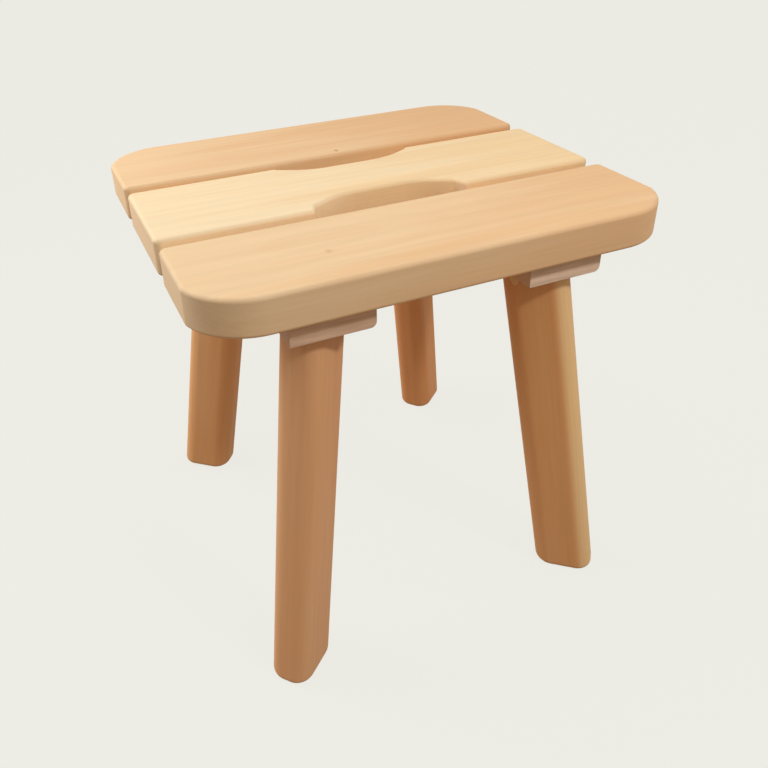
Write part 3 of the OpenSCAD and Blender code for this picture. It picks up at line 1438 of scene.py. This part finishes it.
@dataclass
class Studio:
    """The pale floor and the soft light that the stool is shown in."""

    backdrop: Tone = Tone(237, 236, 229)
    floor_tone: Tone = Tone(254, 254, 248)
    bounce: Tone = Tone(137, 103, 59)
    floor_half: float = 20.0
    fill: float = 0.39
    fill_tone: Tone = Tone(255, 253, 250)
    lamps: tuple[Lamp, ...] = (
        NearLamp("key", 0.92, 25.0, 42.0, 5.3, distance=1.3),
        NearLamp("window", 1.2, -120.0, 30.0, 37.0, distance=0.9),
        Lamp("sky", 0.53, -140.0, 38.0, 40.0),
        Lamp("ceiling", 0.3, 0.0, 90.0, 110.0, Tone(255, 253, 250)),
    )
    shadow_depth: float = 0.05

    def build(self) -> None:
        """Set up the floor, the lamps and the surroundings."""
        self.lay_floor()
        for lamp in self.lamps:
            lamp.hang()
        self.surround()
        bpy.context.scene.view_settings.view_transform = "Standard"

    def lay_floor(self) -> None:
        """Lay the floor, which shows one pale colour with the stool's shadow on it."""
        bpy.ops.mesh.primitive_plane_add(size=2 * self.floor_half)
        floor = bpy.context.object
        floor.name = "floor"
        material = bpy.data.materials.new("floor")
        sheet = Sheet(material)
        tree = sheet.tree
        tree.nodes.remove(tree.nodes["Principled BSDF"])
        lit = sheet.node("ShaderNodeBsdfDiffuse", None, {"Color": self.floor_tone.linear()})
        glow = sheet.node("ShaderNodeEmission", None, {"Color": self.backdrop.linear()})
        seen = sheet.node("ShaderNodeMixShader", None, {0: self.shadow_depth, 1: glow, 2: lit})
        dim = sheet.node("ShaderNodeBsdfDiffuse", None, {"Color": self.bounce.linear()})
        shown = sheet.node("ShaderNodeMixShader", None, {0: self.looked_at(sheet), 1: dim, 2: seen})
        sheet.feed(tree.nodes["Material Output"].inputs["Surface"], shown)
        floor.data.materials.append(material)

    def looked_at(self, sheet: Sheet) -> Value:
        """Tell what the camera sees from what only sheds light.

        Args:
            sheet: The node sheet.

        Returns:
            1 for what it sees, straight or in metal and glass, and otherwise 0.
        """
        path = sheet.tree.nodes.new("ShaderNodeLightPath")
        kinds = ("Camera", "Glossy", "Transmission")
        straight, mirrored, through = (Value(sheet, path.outputs[f"Is {kind} Ray"]) for kind in kinds)
        return sheet.math("MAXIMUM", sheet.math("MAXIMUM", straight, mirrored), through)

    def surround(self) -> None:
        """Light the stool evenly from all sides, and show the backdrop's colour behind it."""
        world = bpy.data.worlds.new("surroundings")
        bpy.context.scene.world = world
        sheet = Sheet(world)
        sheet.tree.nodes.remove(sheet.tree.nodes["Background"])
        fill = {"Color": self.fill_tone.linear(), "Strength": self.fill}
        back = {"Color": self.backdrop.linear(), "Strength": 1.0}
        shaders = [sheet.node("ShaderNodeBackground", None, inputs) for inputs in (fill, back)]
        inputs = {0: self.looked_at(sheet), 1: shaders[0], 2: shaders[1]}
        mixed = sheet.node("ShaderNodeMixShader", None, inputs)
        sheet.feed(sheet.tree.nodes["World Output"].inputs["Surface"], mixed)


@dataclass
class PhotoCamera:
    """The photograph's camera, in millimetres, degrees and pixels of its 768 square frame."""

    frame_size: float = 768.0
    sensor: float = 36.0
    focal: float = 787.11
    azimuth: float = -23.505
    elevation: float = 31.13
    roll: float = -1.555
    distance: float = 764.86
    target: tuple[float, float, float] = (-15.90, -9.24, 232.8)
    axis_shift: tuple[float, float] = (-26.06, -49.88)

    def build(self) -> None:
        """Set up the camera and make it the scene's own."""
        data = bpy.data.cameras.new("camera")
        data.sensor_width = self.sensor
        data.lens = self.focal / self.frame_size * self.sensor
        data.shift_x = -self.axis_shift[0] / self.frame_size
        data.shift_y = self.axis_shift[1] / self.frame_size
        holder = bpy.data.objects.new("camera", data)
        bpy.context.scene.collection.objects.link(holder)
        back = direction(self.azimuth, self.elevation)
        right = direction(self.azimuth + 90.0, 0.0)
        level = Matrix((right, back.cross(right), back)).transposed().to_4x4()
        at = (Vector(self.target) + back * self.distance) * MM
        holder.matrix_world = Matrix.Translation(at) @ level @ Matrix.Rotation(
            math.radians(self.roll), 4, "Z")
        bpy.context.scene.camera = holder


OUTER_WOOD = WoodFinish(
    "outer_slat_wood", plain=Tone(245, 211, 166), late=Tone(234, 187, 138),
    flame=Tone(237, 191, 141), end=Tone(248, 217, 177))
MIDDLE_WOOD = WoodFinish(
    "middle_slat_wood", plain=Tone(253, 227, 185), late=Tone(247, 208, 158),
    flame=Tone(249, 213, 161), end=Tone(249, 218, 178))
BATTEN_WOOD = WoodFinish(
    "batten_wood", plain=Tone(231, 196, 165), late=Tone(219, 180, 146),
    flame=Tone(225, 188, 155), end=Tone(236, 203, 174), ring_gap=3.2 * MM, end_streaks=0.55)
# The legs' tone is partly their own orange wood and partly painted warm shade, made more orange to
# stand for warm light reflected onto their shaded sides
LEG_WOOD_AND_WARM_SHADE = WoodFinish(
    "leg_wood", plain=Tone(246, 187, 130), late=Tone(236, 170, 112),
    flame=Tone(240, 174, 114), end=Tone(235, 176, 116))
DOWEL_WOOD = WoodFinish(
    "dowel_wood", plain=Tone(236, 205, 158), late=Tone(218, 180, 132),
    flame=Tone(228, 194, 146), end=Tone(206, 170, 124))
PLUG_WOOD = WoodFinish(
    "plug_wood", plain=Tone(251, 209, 154), late=Tone(239, 191, 135),
    flame=Tone(245, 199, 142), end=Tone(251, 208, 153))

# How each leg's board differs from the others: partly its own tone and partly painted light and shade,
# the rear left leg painted lighter and the rear right leg darker and more orange for how lit each leg
# is
LEG_TINTS_AND_SHADE = {
    (End.FRONT, Side.LEFT): (0.98, 1.0, 1.06),
    (End.FRONT, Side.RIGHT): (0.985, 0.97, 0.945),
    (End.REAR, Side.LEFT): (1.03, 1.05, 1.07),
    (End.REAR, Side.RIGHT): (1.0, 0.945, 0.9),
}
# The front right leg's pale strip along its outer edge: partly pale outer wood, partly a painted
# highlight where that edge is lit
LEG_SAPWOOD_AND_HIGHLIGHT = {(End.FRONT, Side.RIGHT): 13.5 * MM}
LEG_PITHS = {Side.LEFT: (-14.0 * MM, 85.0 * MM), Side.RIGHT: (20.0 * MM, -70.0 * MM)}
FIRST_LEG_SEED = 9.0
LEG_SEED_STEP = 3.1

FRONT_MARK = Knot(along=-89.7 * MM, across=-8.4 * MM, size=3.2 * MM, strength=0.22)
REAR_KNOT = Knot(along=3.7 * MM, across=-45.6 * MM, size=2.4 * MM, strength=0.6)


def main() -> None:
    """Build the stool piece by piece, then the studio and the camera."""
    logging.basicConfig(level=logging.INFO, format="%(name)s: %(message)s")
    bench, screws, leg = Bench(), SeatScrews(), LegSizes()
    timbers = [
        OuterSlat(row=Row.FRONT, finish=OUTER_WOOD, grain_seed=1.3,
                  pith=(18.0 * MM, -110.0 * MM), knots=(FRONT_MARK,)),
        MiddleSlat(row=Row.MIDDLE, finish=MIDDLE_WOOD, grain_seed=4.1,
                   pith=(-22.0 * MM, -140.0 * MM)),
        OuterSlat(row=Row.REAR, finish=OUTER_WOOD.tinted(0.99, 0.97, 0.95), grain_seed=7.9,
                  pith=(10.0 * MM, -100.0 * MM), knots=(REAR_KNOT,)),
        Batten(Side.LEFT, BATTEN_WOOD.tinted(0.98, 0.96, 0.94), grain_seed=2.2),
        Batten(Side.RIGHT, BATTEN_WOOD.tinted(1.02, 1.04, 1.05), grain_seed=5.6),
    ]
    for timber in timbers:
        timber.dress(timber.build(bench, screws, leg))
    patterns = LegPattern(leg).build(bench)
    for number, (end, side) in enumerate((end, side) for end in End for side in Side):
        one = Leg(side=side, end=end, sizes=leg, finish=LEG_WOOD_AND_WARM_SHADE.tinted(*LEG_TINTS_AND_SHADE[end, side]),
                  plug_finish=PLUG_WOOD, grain_seed=FIRST_LEG_SEED + LEG_SEED_STEP * number,
                  pith=LEG_PITHS[side], sapwood_and_highlight=LEG_SAPWOOD_AND_HIGHLIGHT.get((end, side)))
        one.dress(*one.build(bench, patterns))
    for pattern in patterns:
        bpy.data.objects.remove(pattern)
    Fastenings(DOWEL_WOOD).dress()
    Studio().build()
    PhotoCamera().build()


if __name__ == "__main__":
    main()
